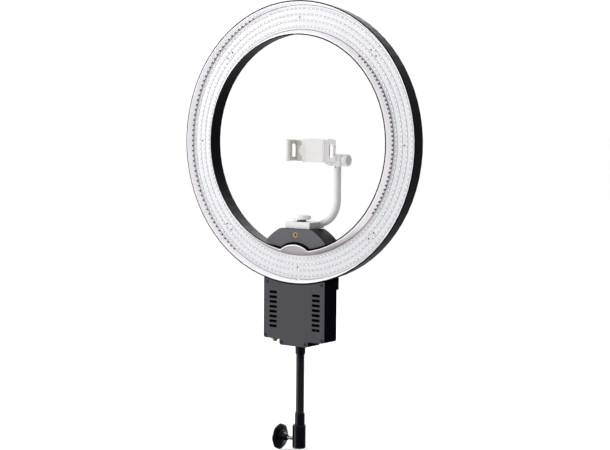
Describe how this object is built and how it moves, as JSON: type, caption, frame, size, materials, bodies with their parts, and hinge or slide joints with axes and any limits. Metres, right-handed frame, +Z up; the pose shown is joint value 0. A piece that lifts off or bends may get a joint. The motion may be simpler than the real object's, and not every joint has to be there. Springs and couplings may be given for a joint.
{
  "type": "ring light",
  "caption": "LED ring light on a short bending neck with a stand socket, control box and spring phone clamp",
  "frame": {"origin": "centre of the stand socket's open lower end", "axes": "+Z up along the neck, the lit face of the ring looks along -Y, +X to the right of someone facing the light"},
  "size_m": [0.4806, 0.0585, 0.776],
  "materials": {
    "black_housing": "satin black moulded plastic",
    "white_liner": "satin white moulded plastic",
    "led_board": "white solder mask with rows of light-emitting diodes",
    "sheet_steel": "plain sheet steel",
    "graphite_plate": "dark grey grained paint",
    "black_metal": "black powder coat",
    "black_screw": "black oxide",
    "brass": "turned brass",
    "steel": "bright turned steel",
    "black_knob": "glossy black moulded plastic",
    "black_control": "satin black moulded plastic",
    "red_rocker": "glossy red moulded plastic",
    "smoked_window": "dark polished window",
    "circuit_board": "green solder mask",
    "white_plastic": "satin white moulded plastic",
    "grey_pad": "warm grey soft pad",
    "chrome_inlet": "plated metal"
  },
  "bodies": {
    "stand_mount": {"stand_socket": "black_metal", "lower_sleeve": "black_metal"},
    "clamp_screw": {"clamp_stud": "steel", "clamp_knob": "black_knob"},
    "neck_1": {"neck_link_1": "black_metal"},
    "neck_2": {"neck_link_2": "black_metal"},
    "neck_3": {"neck_link_3": "black_metal"},
    "neck_4": {"neck_link_4": "black_metal"},
    "neck_5": {"neck_link_5": "black_metal"},
    "neck_6": {"neck_link_6": "black_metal"},
    "head": {"upper_sleeve": "black_metal", "ring_housing": "black_housing", "outer_reflector": "white_liner", "inner_reflector": "white_liner", "led_board_1": "led_board", "led_board_2": "led_board", "led_board_3": "led_board", "led_board_4": "led_board", "board_carrier": "sheet_steel", "bracket_block": "graphite_plate", "front_insert": "brass", "top_insert": "brass", "rear_cover": "black_housing", "front_plate": "graphite_plate", "plate_screw_1": "black_screw", "plate_screw_2": "black_screw", "plate_screw_3": "black_screw", "plate_screw_4": "black_screw", "plate_screw_5": "black_screw", "plate_screw_6": "black_screw", "box_shell": "black_housing", "dc_inlet": "chrome_inlet", "inlet_nut": "chrome_inlet", "driver_board": "circuit_board", "control_board": "circuit_board", "display_window": "smoked_window", "brightness_encoder": "black_control", "colour_encoder": "black_control", "switch_case": "black_control"},
    "brightness_dial_body": {"brightness_dial": "black_control"},
    "colour_dial_body": {"colour_dial": "black_control"},
    "mode_button_body": {"mode_button": "black_control"},
    "channel_button_body": {"channel_button": "black_control"},
    "power_rocker_body": {"power_rocker": "red_rocker"},
    "base_screw": {"base_stud": "steel", "base_knob": "white_plastic"},
    "holder_base": {"holder_block": "white_plastic", "arm_tube": "white_plastic", "tilt_head": "white_plastic"},
    "tilt_screw": {"tilt_stud": "steel", "tilt_knob": "white_plastic"},
    "clamp_arm_body": {"clamp_arm": "white_plastic"},
    "phone_clamp": {"clamp_body": "white_plastic", "clamp_cover": "white_plastic", "fixed_jaw": "white_plastic", "fixed_jaw_pad": "grey_pad", "jaw_spring": "steel"},
    "jaw_body": {"sliding_jaw": "white_plastic", "sliding_jaw_pad": "grey_pad"}
  },
  "joints": [
    {"name": "clamp_screw_turn", "type": "hinge", "parent": "stand_mount", "child": "clamp_screw", "pos_m": [-0.0262, 0, 0.0146], "axis": [1, 0, 0], "range_deg": [-720, 720]},
    {"name": "neck_tilt_1", "type": "hinge", "parent": "stand_mount", "child": "neck_1", "pos_m": [0, 0, 0.06205], "axis": [1, 0, 0], "range_deg": [-14, 14]},
    {"name": "neck_lean_1", "type": "hinge", "parent": "neck_1", "child": "neck_2", "pos_m": [0, 0, 0.07898], "axis": [0, 1, 0], "range_deg": [-14, 14]},
    {"name": "neck_tilt_2", "type": "hinge", "parent": "neck_2", "child": "neck_3", "pos_m": [0, 0, 0.09592], "axis": [1, 0, 0], "range_deg": [-14, 14]},
    {"name": "neck_lean_2", "type": "hinge", "parent": "neck_3", "child": "neck_4", "pos_m": [0, 0, 0.11285], "axis": [0, 1, 0], "range_deg": [-14, 14]},
    {"name": "neck_tilt_3", "type": "hinge", "parent": "neck_4", "child": "neck_5", "pos_m": [0, 0, 0.12978], "axis": [1, 0, 0], "range_deg": [-14, 14]},
    {"name": "neck_lean_3", "type": "hinge", "parent": "neck_5", "child": "neck_6", "pos_m": [0, 0, 0.14672], "axis": [0, 1, 0], "range_deg": [-14, 14]},
    {"name": "neck_tilt_4", "type": "hinge", "parent": "neck_6", "child": "head", "pos_m": [0, 0, 0.16365], "axis": [1, 0, 0], "range_deg": [-14, 14]},
    {"name": "brightness_turn", "type": "hinge", "parent": "head", "child": "brightness_dial_body", "pos_m": [-0.03, 0.0157, 0.2235], "axis": [0, 1, 0], "continuous": true},
    {"name": "colour_turn", "type": "hinge", "parent": "head", "child": "colour_dial_body", "pos_m": [0.03, 0.0157, 0.2235], "axis": [0, 1, 0], "continuous": true},
    {"name": "mode_press", "type": "slide", "parent": "head", "child": "mode_button_body", "axis": [0, -1, 0], "range_m": [0, 0.0008], "stiffness_N_per_m": 1500, "springref_m": -0.0008},
    {"name": "channel_press", "type": "slide", "parent": "head", "child": "channel_button_body", "axis": [0, -1, 0], "range_m": [0, 0.0008], "stiffness_N_per_m": 1500, "springref_m": -0.0008},
    {"name": "power_rock", "type": "hinge", "parent": "head", "child": "power_rocker_body", "pos_m": [0, 0.0137, 0.1965], "axis": [1, 0, 0], "range_deg": [-20, 0]},
    {"name": "base_screw_turn", "type": "hinge", "parent": "head", "child": "base_screw", "pos_m": [0, 0.0005, 0.393], "axis": [0, 0, 1], "range_deg": [0, 720]},
    {"name": "holder_swivel", "type": "hinge", "parent": "head", "child": "holder_base", "pos_m": [0, 0.0005, 0.3813], "axis": [0, 0, 1], "range_deg": [-90, 90]},
    {"name": "tilt_screw_turn", "type": "hinge", "parent": "holder_base", "child": "tilt_screw", "pos_m": [0.068, 0.025, 0.4993], "axis": [1, 0, 0], "range_deg": [0, 720]},
    {"name": "clamp_tilt", "type": "hinge", "parent": "holder_base", "child": "clamp_arm_body", "pos_m": [0.0508, 0.025, 0.4993], "axis": [1, 0, 0], "range_deg": [-60, 30]},
    {"name": "clamp_turn", "type": "hinge", "parent": "clamp_arm_body", "child": "phone_clamp", "pos_m": [0.0224, 0.014, 0.515], "axis": [0, 1, 0], "range_deg": [-90, 90]},
    {"name": "jaw_slide", "type": "slide", "parent": "phone_clamp", "child": "jaw_body", "axis": [-1, 0, 0], "range_m": [0, 0.018], "stiffness_N_per_m": 250, "springref_m": -0.012, "deforming": ["jaw_spring"]}
  ]
}
